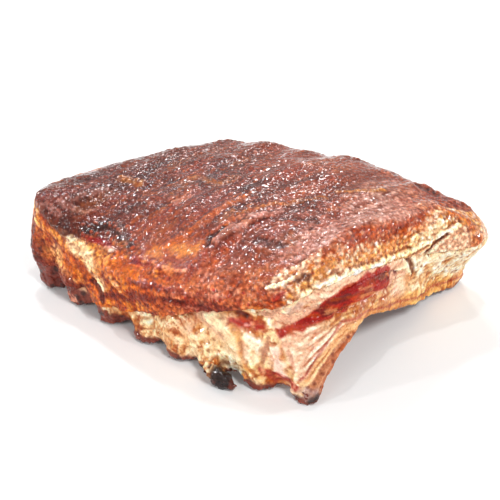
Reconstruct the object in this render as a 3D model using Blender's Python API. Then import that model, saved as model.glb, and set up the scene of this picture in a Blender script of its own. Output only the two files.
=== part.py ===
# Rack of smoked pork ribs, lying bone side down.
# Metres, +Z up. X runs along the rack, across the bones. Y runs along the bones, from their
# sawn ends at the front to the flank at the back. The right-hand side (+X) is the fresh cut.
# The thick outer meat lies over a layer of rib meat, and eight rib bones run through that layer.

import math

import bmesh
import bpy
from mathutils import Vector, noise

# Moves the whole rack so that its box is centred over the origin
CENTRING = Vector((-0.00024, 0.00434, 0.0))

# Outline. Each value list is evenly spaced, from front to back or from left to right.
LEFT_SIDE_X = (-0.119, -0.121, -0.112, -0.097, -0.078)
RIGHT_FOOT_X = (0.103, 0.104, 0.105, 0.107, 0.111)
RIGHT_TOP_X = (0.076, 0.086, 0.093, 0.101, 0.108)
FRONT_EDGE_Y = (-0.078, -0.084, -0.088, -0.086, -0.074)
BACK_EDGE_Y = (0.074, 0.084, 0.089, 0.090, 0.085)
RACK_WIDTH = 0.222
LEFT_BULGE = 0.006
# Knob of flank meat at the back right corner: its reach, place and spread along and up the side
CORNER_BULGE = 0.020
CORNER_BULGE_PLACE = (0.90, 0.73)
CORNER_BULGE_SPREAD = (0.20, 0.34)
EDGE_WAVE = 0.003

# Heights of the top, one row from left to right for each step from front to back
TOP_HEIGHTS = (
    (0.072, 0.050, 0.050, 0.060, 0.066),
    (0.064, 0.062, 0.068, 0.076, 0.080),
    (0.063, 0.067, 0.074, 0.079, 0.078),
    (0.062, 0.068, 0.074, 0.076, 0.070),
    (0.058, 0.065, 0.068, 0.066, 0.058),
)
# Heights of the arched underside from front to back
ARCH_HEIGHTS = (0.000, 0.0195, 0.0320, 0.0290, 0.0200, 0.0135, 0.0075, 0.0030, 0.0)
LEFT_ARCH_SHARE = 0.75
# How far the underside is let down, so that the feet lie flat
FOOT_LET_DOWN = 0.0008

# Layer of rib meat, measured up from the arched underside
RIB_LAYER_LEFT = (0.0135, 0.016, 0.016)
RIB_LAYER_RIGHT = (0.0505, 0.030, 0.033, 0.038, 0.044)
RIB_LAYER_RAMP_X = (-0.062, 0.076)
SEAM_WAVE = 0.0015
LAYER_GAP = 0.0005
LIP_OVERHANG = (0.002, 0.003, 0.006, 0.007, 0.006)

# Rib bones, placed by their shares of the width, with the front end of the last one at the cut
RIB_SHARES = (0.077, 0.196, 0.340, 0.474, 0.602, 0.708, 0.840, 0.968)
BONE_HALF_WIDTH = 0.0054
BONE_HALF_HEIGHT = 0.0037
BONE_OVER_UNDERSIDE = 0.0058
BONE_STAND_OUT = 0.0004
BONE_BACK_SHARE = 0.90
BONE_GAP = 0.0004
BONE_SIDES = 10
BONE_STEPS = 10
CHANNEL_LEAD = 0.02
BONE_LEVEL = 0.12
BONE_FRONT_FLARE = 0.14
BONE_BACK_TAPER = 0.25
BONE_UNEVENNESS = 0.05
# Grooves between the ribs, under the rack and in its front edge
RIDGE_DEPTH = 0.0060
RIDGE_BACK_SHARE = 0.55
LOBE_DEPTH = 0.0060
LOBE_FADE = (0.30, 0.62)

# Lean muscle that shows on the cut side and at its front corner
LEAN_CENTRE_X = 0.086
LEAN_FRONT_Y = -0.102
LEAN_BACK_Y = 0.026
LEAN_HEIGHTS = (0.0450, 0.0474, 0.0490, 0.0452, 0.0375)
LEAN_HALF_WIDTH = 0.034
LEAN_HALF_THICKNESS = (0.0026, 0.0034, 0.0046, 0.0062, 0.0040)

# Relief of the crust
RIDGE_WIDTH = 0.015
RIDGE_LENGTH = 0.075
RIDGE_HEIGHT = 0.0026
GRAIN_SLANT = 0.18
CRAG_SIZE = 0.010
CRAG_HEIGHT = 0.0011

# Charred scrap that hangs from the front edge
SCRAP_PLACE = Vector((0.0480, -0.0948, 0.0062))
SCRAP_HALF_SIZE = Vector((0.0112, 0.0052, 0.0078))
SCRAP_ROUGHNESS = 0.28
SCRAP_LUMPS = 1.9
SCRAP_TAPER = (1.15, 0.62)
SCRAP_DROOP = 0.0030

# The block that the rack is shaped from, and how much its edges are rounded
CELLS = (38, 28, 8)
BLOCK_HALF_SIZE = Vector((0.112, 0.088, 0.036))
TOP_ROUNDING = 0.018
FOOT_ROUNDING = 0.005
LEFT_FOOT_ROUNDING = 0.013
CUT_SIDE_ROUNDING = 0.35

# The block that parts the layers
LAYER_CELLS = (16, 14, 1)
LAYER_HALF_SIZE = (0.16, 0.13)
LAYER_BOTTOM = -0.05


def smooth_step(low, high, value):
    share = min(1.0, max(0.0, (value - low) / (high - low)))
    return share * share * (3 - 2 * share)


def mix(first, second, share):
    return first + (second - first) * share


def along(values, share):
    """Smooth curve through evenly spaced values, for a share from 0 to 1."""
    place = min(1.0, max(0.0, share)) * (len(values) - 1)
    index = min(int(place), len(values) - 2)
    start, end = values[index], values[index + 1]
    slope_in = (end - values[max(index - 1, 0)]) / 2
    slope_out = (values[min(index + 2, len(values) - 1)] - start) / 2
    f = place - index
    bend = 3 * (end - start) - 2 * slope_in - slope_out
    return start + slope_in * f + bend * f ** 2 + (2 * (start - end) + slope_in + slope_out) * f ** 3


def bell(distance):
    return math.exp(-distance * distance)


def wave(x, y, z):
    return noise.noise(Vector((x, y, z)))


def near_rib(s):
    """1 on a rib's line and 0 half way between two ribs."""
    spacing = (RIB_SHARES[-1] - RIB_SHARES[0]) / (len(RIB_SHARES) - 1)
    nearest = min(abs(s - share) for share in RIB_SHARES)
    return math.cos(math.pi / 2 * min(1.0, nearest / (0.5 * spacing)))


def side_x(s, t, w):
    """x of a point that is s across the rack, t along the ribs and w of the way up."""
    left = along(LEFT_SIDE_X, t) - LEFT_BULGE * math.sin(math.pi * w)
    right = mix(along(RIGHT_FOOT_X, t), along(RIGHT_TOP_X, t), w)
    place, spread = CORNER_BULGE_PLACE, CORNER_BULGE_SPREAD
    right += CORNER_BULGE * bell((t - place[0]) / spread[0]) * bell((w - place[1]) / spread[1])
    right += EDGE_WAVE * wave(t * 7.0, w * 2.5, 4.2)
    return mix(left, right, s)


def front_y(s, w, lip):
    lobe = LOBE_DEPTH * near_rib(s) * (1 - smooth_step(*LOBE_FADE, w))
    overhang = lip * along(LIP_OVERHANG, s) * smooth_step(0.05, 0.30, w)
    return along(FRONT_EDGE_Y, s) - lobe - overhang + EDGE_WAVE * wave(s * 9.0, w * 2.0, 1.7)


def side_y(s, t, w, lip):
    back = along(BACK_EDGE_Y, s) + EDGE_WAVE * wave(s * 8.0, w * 2.0, 9.1)
    return mix(front_y(s, w, lip), back, t)


def underside(s, t):
    arch = along(ARCH_HEIGHTS, t) * mix(LEFT_ARCH_SHARE, 1.0, smooth_step(0.0, 0.4, s))
    ridge = RIDGE_DEPTH * (1 - near_rib(s)) * mix(1.0, RIDGE_BACK_SHARE, t)
    return arch + ridge


def top_height(s, t, x, y):
    height = along([along(row, s) for row in TOP_HEIGHTS], t)
    # The grain of the crust runs along the bones and fans a little to the right
    across = x - GRAIN_SLANT * y
    height += RIDGE_HEIGHT * wave(across / RIDGE_WIDTH, y / RIDGE_LENGTH, 3.3)
    return height + CRAG_HEIGHT * wave(x / CRAG_SIZE, y / CRAG_SIZE, 6.1)


def slab_point(s, t, w, lip):
    """Point of the rack for shares across it, along the ribs and up through it."""
    x = side_x(s, t, w)
    y = side_y(s, t, w, lip)
    low = underside(s, t) - FOOT_LET_DOWN
    return Vector((x, y, max(0.0, mix(low, top_height(s, t, x, y), w)))) + CENTRING


def seam_height(x, y):
    """Height of the seam between the rib meat and the outer meat."""
    t = (y - FRONT_EDGE_Y[2]) / (BACK_EDGE_Y[2] - FRONT_EDGE_Y[2])
    ramp = smooth_step(*RIB_LAYER_RAMP_X, x)
    layer = mix(along(RIB_LAYER_LEFT, t), along(RIB_LAYER_RIGHT, t), ramp)
    return along(ARCH_HEIGHTS, t) + layer + SEAM_WAVE * wave(x * 30, y * 30, 2.0)


def subdivided_cube(cells):
    """Cube of side 2 about the origin, cut into the given number of cells along each axis."""
    mesh = bmesh.new()
    bmesh.ops.create_cube(mesh, size=2.0)
    for axis, count in enumerate(cells):
        edges = [
            e for e in mesh.edges if abs(e.verts[0].co[axis] - e.verts[1].co[axis]) > 1e-5
        ]
        bmesh.ops.subdivide_edges(mesh, edges=edges, cuts=count - 1, use_grid_fill=True)
    return mesh


def rounded(corner):
    """Pulls a point of the unit cube in, so that the block gets round edges."""
    half_size = BLOCK_HALF_SIZE
    foot = mix(LEFT_FOOT_ROUNDING, FOOT_ROUNDING, smooth_step(-1.0, -0.8, corner.x))
    radius = mix(foot, TOP_ROUNDING, (corner.z + 1) / 2)
    radius *= mix(1.0, CUT_SIDE_ROUNDING, smooth_step(0.4, 1.0, corner.x))
    full = Vector(c * h for c, h in zip(corner, half_size))
    inner = Vector(max(radius - h, min(h - radius, c)) for c, h in zip(full, half_size))
    out = full - inner
    if out.length > 1e-9:
        full = inner + out.normalized() * min(radius, max(abs(v) for v in out))
    return Vector(p / h for p, h in zip(full, half_size))


def new_object(name, mesh, collection, material=None):
    data = bpy.data.meshes.new(name)
    mesh.to_mesh(data)
    mesh.free()
    made = bpy.data.objects.new(name, data)
    collection.objects.link(made)
    if material:
        data.materials.append(material)
    return made


def make_slab(name, collection, material, lip):
    """The whole rack as one closed block. Its layers are cut from copies of it."""
    mesh = subdivided_cube(CELLS)
    for vertex in mesh.verts:
        s, t, w = ((c + 1) / 2 for c in rounded(vertex.co))
        vertex.co = slab_point(s, t, w, lip)
    return new_object(name, mesh, collection, material)


def make_layer_block(name, collection, shift):
    """Block that holds all that lies below the seam. Its top follows the seam."""
    mesh = subdivided_cube(LAYER_CELLS)
    for vertex in mesh.verts:
        x, y = (c * half for c, half in zip(vertex.co.xy, LAYER_HALF_SIZE))
        z = seam_height(x, y) + shift if vertex.co.z > 0 else LAYER_BOTTOM
        vertex.co = Vector((x, y, z)) + CENTRING
    return new_object(name, mesh, collection)


def make_bone(index, name, collection, material, grow=0.0):
    """A flat oval rib that follows the arch. Grown, it is the channel that the rib lies in."""
    mesh = bmesh.new()
    bmesh.ops.create_cone(
        mesh, cap_ends=True, segments=BONE_SIDES, radius1=1, radius2=1, depth=2
    )
    walls = [e for e in mesh.edges if abs(e.verts[0].co.z - e.verts[1].co.z) > 1]
    # A channel has one step more, which carries it out through the front
    lead = 1 if grow else 0
    steps = BONE_STEPS + lead
    bmesh.ops.subdivide_edges(mesh, edges=walls, cuts=steps - 1, use_grid_fill=True)
    s = RIB_SHARES[index]
    for vertex in mesh.verts:
        ring = round((vertex.co.z + 1) / 2 * steps)
        share = max(0, ring - lead) / BONE_STEPS
        t = BONE_BACK_SHARE * share
        flare = 1 + BONE_FRONT_FLARE * (1 - share) ** 4 - BONE_BACK_TAPER * share ** 6
        flare += BONE_UNEVENNESS * math.sin(5 * t + index)
        aside = vertex.co.x * (BONE_HALF_WIDTH * flare + grow)
        x = side_x(s, t, BONE_LEVEL) + aside
        z = underside(s, t) + BONE_OVER_UNDERSIDE + vertex.co.y * (BONE_HALF_HEIGHT * flare + grow)
        front = front_y(s + aside / RACK_WIDTH, BONE_LEVEL, 0.0) - BONE_STAND_OUT
        y = mix(front, along(BACK_EDGE_Y, s), t)
        if ring < lead:
            y -= CHANNEL_LEAD
        elif ring == steps:
            y += grow
        vertex.co = Vector((x, y, z)) + CENTRING
    # Laying the upright cylinder along Y mirrored it, so its faces are turned back
    bmesh.ops.reverse_faces(mesh, faces=mesh.faces)
    return new_object(name, mesh, collection, material)


def make_lean(name, collection, material, grow=0.0):
    """The lens of lean muscle, thin at the front and thickest past its middle."""
    mesh = bmesh.new()
    bmesh.ops.create_uvsphere(mesh, u_segments=20, v_segments=9, radius=1)
    middle = (LEAN_FRONT_Y + LEAN_BACK_Y) / 2
    half_length = (LEAN_BACK_Y - LEAN_FRONT_Y) / 2
    for vertex in mesh.verts:
        p = vertex.co.copy()
        share = (p.y + 1) / 2
        x = LEAN_CENTRE_X + p.x * (LEAN_HALF_WIDTH + grow)
        y = middle + p.y * (half_length + grow)
        thick = along(LEAN_HALF_THICKNESS, share) + grow
        vertex.co = Vector((x, y, along(LEAN_HEIGHTS, share) + p.z * thick)) + CENTRING
    return new_object(name, mesh, collection, material)


def make_scrap(name, collection):
    """A craggy charred scrap, pointed towards its lower right end."""
    mesh = bmesh.new()
    bmesh.ops.create_icosphere(mesh, subdivisions=3, radius=1)
    for vertex in mesh.verts:
        p = vertex.co.copy()
        rough = 1 + SCRAP_ROUGHNESS * noise.noise(p * SCRAP_LUMPS)
        taper = mix(*SCRAP_TAPER, (p.x + 1) / 2)
        offset = Vector((
            p.x * SCRAP_HALF_SIZE.x,
            p.y * SCRAP_HALF_SIZE.y * taper,
            p.z * SCRAP_HALF_SIZE.z * taper - SCRAP_DROOP * p.x,
        ))
        place = SCRAP_PLACE + offset * rough
        vertex.co = Vector((place.x, place.y, max(0.0, place.z))) + CENTRING
    return new_object(name, mesh, collection)


def cut(target, operation, other):
    modifier = target.modifiers.new(operation.lower() + "_" + other.name, "BOOLEAN")
    modifier.operation = operation
    modifier.solver = "EXACT"
    modifier.object = other


def make_material(name, colour, roughness):
    made = bpy.data.materials.new(name)
    made.use_nodes = True
    surface = made.node_tree.nodes["Principled BSDF"]
    surface.inputs["Base Color"].default_value = (*colour, 1)
    surface.inputs["Roughness"].default_value = roughness
    surface.inputs["Metallic"].default_value = 0.0
    return made


def main():
    for old in list(bpy.data.objects):
        bpy.data.objects.remove(old)
    rack = bpy.data.collections.new("rack_of_ribs")
    helpers = bpy.data.collections.new("cutters")
    for collection in (rack, helpers):
        bpy.context.scene.collection.children.link(collection)

    crust = make_material("browned_crust", (0.16, 0.035, 0.015), 0.35)
    rib_flesh = make_material("rib_meat", (0.62, 0.30, 0.14), 0.45)
    lean_flesh = make_material("lean_meat", (0.42, 0.03, 0.02), 0.35)
    bone_finish = make_material("rib_bone", (0.72, 0.50, 0.28), 0.50)

    outer = make_slab("outer_meat", rack, crust, lip=1.0)
    cut(outer, "DIFFERENCE", make_layer_block("below_outer_meat", helpers, LAYER_GAP / 2))

    rib_meat = make_slab("rib_meat", rack, rib_flesh, lip=0.0)
    cut(rib_meat, "INTERSECT", make_layer_block("rib_layer", helpers, -LAYER_GAP / 2))
    cut(rib_meat, "UNION", make_scrap("charred_scrap", helpers))
    cut(rib_meat, "DIFFERENCE", make_lean("lean_pocket", helpers, None, grow=BONE_GAP))

    lean = make_lean("lean_muscle", rack, lean_flesh)
    cut(lean, "INTERSECT", make_slab("whole_rack", helpers, None, lip=0.0))

    for index in range(len(RIB_SHARES)):
        make_bone(index, f"rib_bone_{index + 1}", rack, bone_finish)
        channel = make_bone(index, f"bone_channel_{index + 1}", helpers, None, grow=BONE_GAP)
        cut(rib_meat, "DIFFERENCE", channel)

    for helper in helpers.objects:
        helper.hide_render = True
        helper.display_type = "WIRE"


main()
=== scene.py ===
from math import cos, pi, radians, sin

import bmesh
import bpy
import numpy as np
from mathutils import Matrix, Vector
from mathutils.bvhtree import BVHTree


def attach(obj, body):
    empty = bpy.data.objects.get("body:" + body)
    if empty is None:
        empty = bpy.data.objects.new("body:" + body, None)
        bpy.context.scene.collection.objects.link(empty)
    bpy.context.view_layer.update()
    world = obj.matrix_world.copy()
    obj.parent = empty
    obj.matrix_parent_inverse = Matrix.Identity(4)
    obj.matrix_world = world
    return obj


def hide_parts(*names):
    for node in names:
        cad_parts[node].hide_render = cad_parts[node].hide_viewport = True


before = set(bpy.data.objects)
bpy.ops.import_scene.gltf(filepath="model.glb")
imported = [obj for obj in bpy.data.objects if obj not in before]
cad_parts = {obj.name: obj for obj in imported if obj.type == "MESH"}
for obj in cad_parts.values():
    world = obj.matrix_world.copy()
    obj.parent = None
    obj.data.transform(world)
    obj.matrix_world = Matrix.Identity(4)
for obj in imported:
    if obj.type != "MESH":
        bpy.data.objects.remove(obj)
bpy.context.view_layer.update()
print("frame loaded:", len(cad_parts), "nodes")

# Colours, as red, green and blue from 0 to 255
colours = {
    "mahogany": (112, 42, 24),
    "darkMahogany": (64, 24, 16),
    "rosyCrust": (158, 88, 70),
    "paleRose": (206, 152, 138),
    "redBrown": (150, 52, 26),
    "char": (34, 20, 20),
    "orange": (196, 88, 20),
    "burntOrange": (160, 62, 14),
    "golden": (234, 154, 62),
    "goldenBrown": (172, 100, 40),
    "cream": (252, 221, 172),
    "paleFat": (255, 236, 206),
    "tan": (222, 168, 104),
    "pinkCream": (238, 190, 156),
    "pinkMeat": (222, 150, 124),
    "rawPink": (206, 120, 100),
    "leanRed": (170, 38, 26),
    "deepRed": (140, 20, 18),
    "darkLean": (92, 34, 32),
    "rimRed": (104, 30, 20),
    "greyPink": (180, 150, 146),
    "palePink": (249, 218, 204),
    "brownSpot": (120, 62, 34),
}


def ramp(low, high, value):
    # smooth rise from 0 at low to 1 at high, or a fall where low is the larger
    share = np.clip((value - low) / (high - low), 0.0, 1.0)
    return share * share * (3 - 2 * share)


def lattice(ix, iy, iz, seed):
    # a steady random number from 0 to 1 for each cell corner
    mask = np.int64(0xFFFFFFFF)
    n = (ix * 73856093) ^ (iy * 19349663) ^ (iz * 83492791) ^ (seed * 40503 + 977)
    n = ((n & mask) ^ ((n & mask) >> 15)) * 2246822519 & mask
    n = (n ^ (n >> 13)) * 3266489917 & mask
    n = n ^ (n >> 16)
    return (n & 0xFFFFFF) / float(0xFFFFFF)


def softNoise(points, size, seed):
    # smooth noise from -1 to 1 with lumps of the given size; each use has its own seed
    scaled = points / size
    cell = np.floor(scaled).astype(np.int64)
    part = scaled - cell
    part = part * part * part * (part * (part * 6 - 15) + 10)
    total = np.zeros(len(points))
    for dx in (0, 1):
        wx = part[:, 0] if dx else 1 - part[:, 0]
        for dy in (0, 1):
            wy = part[:, 1] if dy else 1 - part[:, 1]
            for dz in (0, 1):
                wz = part[:, 2] if dz else 1 - part[:, 2]
                corner = lattice(cell[:, 0] + dx, cell[:, 1] + dy, cell[:, 2] + dz, seed)
                total += wx * wy * wz * corner
    return total * 2 - 1


def layeredNoise(points, size, seed, layers=3, fade=0.5):
    # soft noise with finer and weaker layers on top
    total = np.zeros(len(points))
    weight, whole = 1.0, 0.0
    for layer in range(layers):
        total += weight * softNoise(points, size / 2**layer, seed + 31 * layer)
        whole += weight
        weight *= fade
    return total / whole


def pebbleNoise(points, size, seed):
    # distance to the nearest random pebble, in pebble sizes
    scaled = points / size
    cell = np.floor(scaled).astype(np.int64)
    nearest = np.full(len(points), 9.0)
    for dx in (-1, 0, 1):
        for dy in (-1, 0, 1):
            for dz in (-1, 0, 1):
                cx, cy, cz = cell[:, 0] + dx, cell[:, 1] + dy, cell[:, 2] + dz
                away = (cx + lattice(cx, cy, cz, seed) - scaled[:, 0]) ** 2
                away += (cy + lattice(cx, cy, cz, seed + 1) - scaled[:, 1]) ** 2
                away += (cz + lattice(cx, cy, cz, seed + 2) - scaled[:, 2]) ** 2
                nearest = np.minimum(nearest, away)
    return np.sqrt(nearest)


def distanceToPath(points, path):
    # distance of each point to the nearest place on a line through the path's points
    path = np.array(path, float)
    best = np.full(len(points), 1e9)
    for start, end in zip(path[:-1], path[1:]):
        along = end - start
        share = np.clip((points - start) @ along / (along @ along), 0.0, 1.0)
        best = np.minimum(best, np.linalg.norm(points - start - share[:, None] * along, axis=1))
    return best


def nearPath(points, path, inner, outer):
    # 1 up to the inner distance from a path, in mm, fading to 0 at the outer one
    return 1 - ramp(inner, outer, distanceToPath(points, path))


def warped(points, size, amount, seed):
    # points shifted at random, so that what is laid on them winds
    shift = [softNoise(points, size, seed + k) for k in range(3)]
    return points + amount * np.stack(shift, axis=1)


def looseMeshFrom(nodeNames):
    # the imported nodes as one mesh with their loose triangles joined
    joined = bmesh.new()
    for name in nodeNames:
        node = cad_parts[name]
        mesh = node.data.copy()
        mesh.transform(node.matrix_world)
        joined.from_mesh(mesh)
        bpy.data.meshes.remove(mesh)
    bmesh.ops.remove_doubles(joined, verts=joined.verts, dist=1e-6)
    mesh = bpy.data.meshes.new("start")
    joined.to_mesh(mesh)
    joined.free()
    return mesh


def throughModifier(mesh, kind, settings, groupWeights=None):
    holder = bpy.data.objects.new("holder", mesh)
    bpy.context.scene.collection.objects.link(holder)
    if groupWeights is not None:
        group = holder.vertex_groups.new(name="hidden")
        group.add([int(i) for i in np.nonzero(groupWeights)[0]], 1.0, "REPLACE")
    modifier = holder.modifiers.new("step", kind)
    for key, value in settings.items():
        setattr(modifier, key, value)
    graph = bpy.context.evaluated_depsgraph_get()
    made = bpy.data.meshes.new_from_object(holder.evaluated_get(graph))
    bpy.data.objects.remove(holder)
    bpy.data.meshes.remove(mesh)
    return made


def coordinatesOf(mesh):
    flat = np.empty(len(mesh.vertices) * 3, np.float32)
    mesh.vertices.foreach_get("co", flat)
    return flat.reshape(-1, 3).astype(float)


def normalsOf(mesh):
    flat = np.empty(len(mesh.vertices) * 3, np.float32)
    mesh.vertex_normals.foreach_get("vector", flat)
    return flat.reshape(-1, 3).astype(float)


def moveTo(mesh, points):
    mesh.vertices.foreach_set("co", points.astype(np.float32).ravel())
    mesh.update()


def edgesOf(mesh):
    flat = np.empty(len(mesh.edges) * 2, np.int32)
    mesh.edges.foreach_get("vertices", flat)
    return flat.reshape(-1, 2)


# How the nodes become even meshes, with lengths in metres
meshing = {
    "smoothing": 0.55,
    "swelling": -0.50,
    "fillerSwell": 0.0009,
    "coverDepth": 0.0006,
    "coverReach": 0.0022,
    "coverMargin": 4,
    "thinnedShare": 0.93,
}


def evenedOut(points, edges, rounds):
    # pairs of a smoothing and an opposite step, so that the form keeps its size
    first, last = edges[:, 0], edges[:, 1]
    size = len(points)
    count = np.bincount(first, minlength=size) + np.bincount(last, minlength=size)
    count = np.maximum(count, 1)
    for step in range(rounds * 2):
        amount = meshing["smoothing"] if step % 2 == 0 else meshing["swelling"]
        mean = np.empty_like(points)
        for axis in range(3):
            mean[:, axis] = np.bincount(first, points[last, axis], size)
            mean[:, axis] += np.bincount(last, points[first, axis], size)
        points = points + amount * (mean / count[:, None] - points)
    return points


def touchingOthers(mesh, ownNodes):
    # which points lie against another node, so that they are never seen
    others = looseMeshFrom([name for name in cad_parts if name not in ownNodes])
    tree = BVHTree.FromPolygons(
        [v.co for v in others.vertices], [tuple(p.vertices) for p in others.polygons]
    )
    bpy.data.meshes.remove(others)
    points, normals = coordinatesOf(mesh), normalsOf(mesh)
    found = np.zeros(len(points), bool)
    for index, (point, normal) in enumerate(zip(points, normals)):
        start = Vector(point - normal * meshing["coverDepth"])
        found[index] = tree.ray_cast(start, Vector(normal), meshing["coverReach"])[0] is not None
    return found


def bodyMesh(nodeNames, look, fillers=()):
    # an even, smooth mesh of the nodes, coarse where another node covers it
    mesh = looseMeshFrom(nodeNames)
    if fillers:
        # swollen a little, what lies in the node's channels closes them
        inner = looseMeshFrom(fillers)
        moveTo(inner, coordinatesOf(inner) + normalsOf(inner) * meshing["fillerSwell"])
        both = bmesh.new()
        both.from_mesh(mesh)
        both.from_mesh(inner)
        both.to_mesh(mesh)
        both.free()
        bpy.data.meshes.remove(inner)
    voxel = look["voxel"] * 1
    mesh = throughModifier(mesh, "REMESH", {"mode": "VOXEL", "voxel_size": voxel})
    ownNodes = [*nodeNames, *fillers]
    core = touchingOthers(mesh, ownNodes)
    edges = edgesOf(mesh)
    for _ in range(meshing["coverMargin"]):
        shown = ~core
        core[edges[shown[edges[:, 0]], 1]] = False
        core[edges[shown[edges[:, 1]], 0]] = False
    if core.any():
        settings = {"ratio": float(1 - meshing["thinnedShare"] * core.mean()), "vertex_group": "hidden"}
        mesh = throughModifier(mesh, "DECIMATE", settings, core)
    hidden = touchingOthers(mesh, ownNodes)
    points = evenedOut(coordinatesOf(mesh), edgesOf(mesh), look["evenRounds"])
    moveTo(mesh, points)
    # what is covered is pushed a little into its neighbour, so that no gap shows
    moveTo(mesh, points + normalsOf(mesh) * hidden[:, None] * look["hiddenGrow"])
    # paint and relief are worked out in mm
    return mesh, hidden, coordinatesOf(mesh) * 1000, normalsOf(mesh)


def toLinear(paint):
    share = np.clip(paint / 255.0, 0.0, 1.0)
    return np.where(share <= 0.04045, share / 12.92, ((share + 0.055) / 1.055) ** 2.4)


def storePaint(mesh, paint, gloss, grit, normals, glaze=0.0):
    attribute = mesh.attributes.new("paint", "FLOAT_COLOR", "POINT")
    rgba = np.ones((len(paint), 4), np.float32)
    rgba[:, :3] = toLinear(paint)
    attribute.data.foreach_set("color", rgba.ravel())
    # the sides carry a thinner glaze than what faces up
    wetness = 0.25 + 0.75 * ramp(0.15, 0.65, normals[:, 2]) + glaze
    for name, values in (("gloss", gloss), ("grit", grit), ("wetness", wetness)):
        attribute = mesh.attributes.new(name, "FLOAT", "POINT")
        attribute.data.foreach_set("value", np.clip(values, 0, 1).astype(np.float32))


def localAverage(values, edges, rounds):
    # the mean over the points around each point
    first, last = edges[:, 0], edges[:, 1]
    size = len(values)
    count = 1 + np.bincount(first, minlength=size) + np.bincount(last, minlength=size)
    for _ in range(rounds):
        total = values + np.bincount(first, values[last], size)
        values = (total + np.bincount(last, values[first], size)) / count
    return values


def paintReliefShade(paint, height, edges, contrast):
    # painted highlight and shade: raised grains painted a little lighter, the gaps between them painted
    # darker
    relief = height - localAverage(height, edges, 5)
    shade = np.clip(1 + contrast * relief, 0.45, 1.3)[:, None]
    return paint * shade ** np.array([0.8, 1.25, 1.5])


def plainPaint(points, colourName):
    return np.tile(np.array(colours[colourName], float), (len(points), 1))


def lay(paint, colourName, amount):
    # a coat of one colour over the paint so far, as strong as amount at each point
    amount = np.clip(amount, 0.0, 1.0)[:, None]
    return paint * (1 - amount) + np.array(colours[colourName], float) * amount


def coated(paint, coats):
    # one coat after the other, each given by its colour and its amount
    for colourName, amount in coats:
        paint = lay(paint, colourName, amount)
    return paint


def covered(paint, other, share):
    # the other paint over this one where share is 1
    return paint * (1 - share)[:, None] + other * share[:, None]


def feed(tree, node, inputs):
    # each input takes either a value or another node's output
    for key, value in inputs.items():
        if isinstance(value, bpy.types.NodeSocket):
            tree.links.new(value, node.inputs[key])
        else:
            node.inputs[key].default_value = value


def addNode(tree, kind, inputs, **settings):
    node = tree.nodes.new(kind)
    for key, value in settings.items():
        setattr(node, key, value)
    feed(tree, node, inputs)
    return node


def paintedValue(tree, attributeName, outputName="Fac"):
    return addNode(tree, "ShaderNodeAttribute", {}, attribute_name=attributeName).outputs[outputName]


def wetSurface(name, look):
    # shared build of the meat materials: painted colour, fine mottling, gloss and grain
    material = bpy.data.materials.new(name)
    material.use_nodes = True
    tree = material.node_tree
    place = tree.nodes.new("ShaderNodeTexCoord").outputs["Object"]

    # colour: the paint with a fine light and dark mottling
    mottle = addNode(tree, "ShaderNodeTexNoise", {
        "Vector": place,
        "Scale": look["mottleScale"],
        "Detail": 5.0,
        "Roughness": 0.65,
    })
    shade = addNode(tree, "ShaderNodeValToRGB", {"Fac": mottle.outputs["Fac"]})
    darkStop, lightStop = shade.color_ramp.elements
    darkStop.position = 0.30
    darkStop.color = look["mottleDark"]
    lightStop.position = 0.66
    lightStop.color = look["mottleLight"]
    # inputs 0, 6 and 7 of a colour mix are its factor and its two colours
    mixed = addNode(tree, "ShaderNodeMix", {
        0: look["mottleAmount"],
        6: paintedValue(tree, "paint", "Color"),
        7: shade.outputs["Color"],
    }, data_type="RGBA", blend_type="MULTIPLY")

    # roughness: from dry to wet with the gloss, a little uneven
    roughness = addNode(tree, "ShaderNodeMapRange", {
        "Value": paintedValue(tree, "gloss"),
        "From Min": 0.0,
        "From Max": 1.0,
        "To Min": look["roughDry"],
        "To Max": look["roughWet"],
    })
    wornInputs = {0: mottle.outputs["Fac"], 1: 0.18, 2: roughness.outputs["Result"]}
    worn = addNode(tree, "ShaderNodeMath", wornInputs, operation="MULTIPLY_ADD")

    # relief of the glaze: ripples and small round beads
    stretch = addNode(tree, "ShaderNodeMapping", {
        "Vector": place,
        "Rotation": (0, 0, radians(look["rippleTurn"])),
        "Scale": (1.0, look["rippleStretch"], 1.0),
    })
    ripple = addNode(tree, "ShaderNodeTexNoise", {
        "Vector": stretch.outputs["Vector"],
        "Scale": look["rippleScale"],
        "Detail": 1.0,
        "Roughness": 0.55,
    })
    beads = addNode(tree, "ShaderNodeTexVoronoi", {"Vector": place, "Scale": look["beadScale"]})
    beadRise = addNode(tree, "ShaderNodeMapRange", {
        "Value": beads.outputs["Distance"],
        "From Min": 0.50,
        "From Max": 0.10,
        "To Min": 0.0,
        "To Max": look["beadHeight"],
    }, interpolation_type="SMOOTHSTEP")
    heightInputs = {0: ripple.outputs["Fac"], 1: beadRise.outputs["Result"]}
    height = addNode(tree, "ShaderNodeMath", heightInputs, operation="ADD")
    gritInputs = {0: paintedValue(tree, "grit"), 1: look["bumpStrength"]}
    strength = addNode(tree, "ShaderNodeMath", gritInputs, operation="MULTIPLY")
    bump = addNode(tree, "ShaderNodeBump", {
        "Strength": strength.outputs["Value"],
        "Distance": look["bumpDepth"],
        "Height": height.outputs["Value"],
    })

    # the wet glaze is the coat
    wetInputs = {0: paintedValue(tree, "wetness"), 1: look["coat"]}
    glaze = addNode(tree, "ShaderNodeMath", wetInputs, operation="MULTIPLY")
    feed(tree, tree.nodes["Principled BSDF"], {
        "Base Color": mixed.outputs[2],
        "Roughness": worn.outputs["Value"],
        "Normal": bump.outputs["Normal"],
        "IOR": 1.45,
        "Specular IOR Level": 0.06,
        "Coat Weight": glaze.outputs["Value"],
        "Coat Roughness": look["coatRoughness"],
        "Coat IOR": 1.52,
        "Coat Normal": bump.outputs["Normal"],
        "Subsurface Weight": look["subsurface"],
        "Subsurface Radius": (0.004, 0.0016, 0.0008),
        "Subsurface Scale": 1.0,
    })
    return material


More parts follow.
